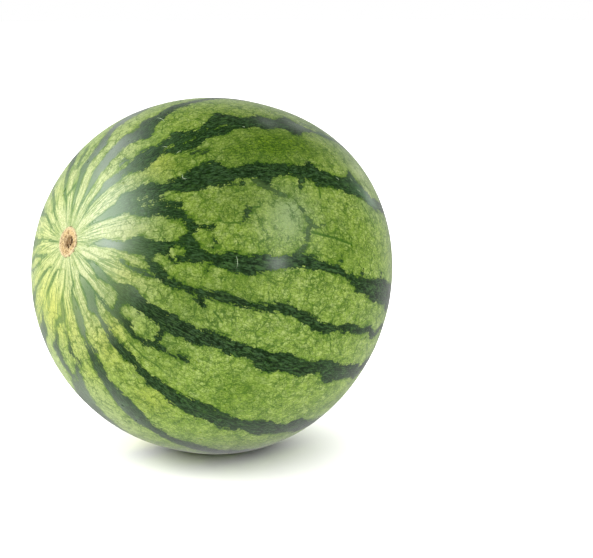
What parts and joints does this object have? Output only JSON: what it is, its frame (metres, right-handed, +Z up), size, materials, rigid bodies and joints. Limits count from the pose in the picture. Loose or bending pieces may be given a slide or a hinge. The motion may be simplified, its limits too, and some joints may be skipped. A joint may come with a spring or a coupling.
{
  "type": "watermelon",
  "caption": "Whole round striped watermelon, as picked, lying on its flat resting spot with the blossom scar facing out and a little up.",
  "frame": {"origin": "On the surface that the fruit lies on, under the middle of its box.", "axes": "+Z up. The fruit's axis lies over the X axis and rises 16 degrees towards -X, where the blossom end is, so the stem end faces +X. X is the fruit's shortest extent, because it is a little shorter than it is wide."},
  "size_m": [0.227, 0.2336, 0.2291],
  "materials": {
    "rind": null
  },
  "bodies": {
    "root": {"watermelon": "rind"}
  },
  "joints": []
}
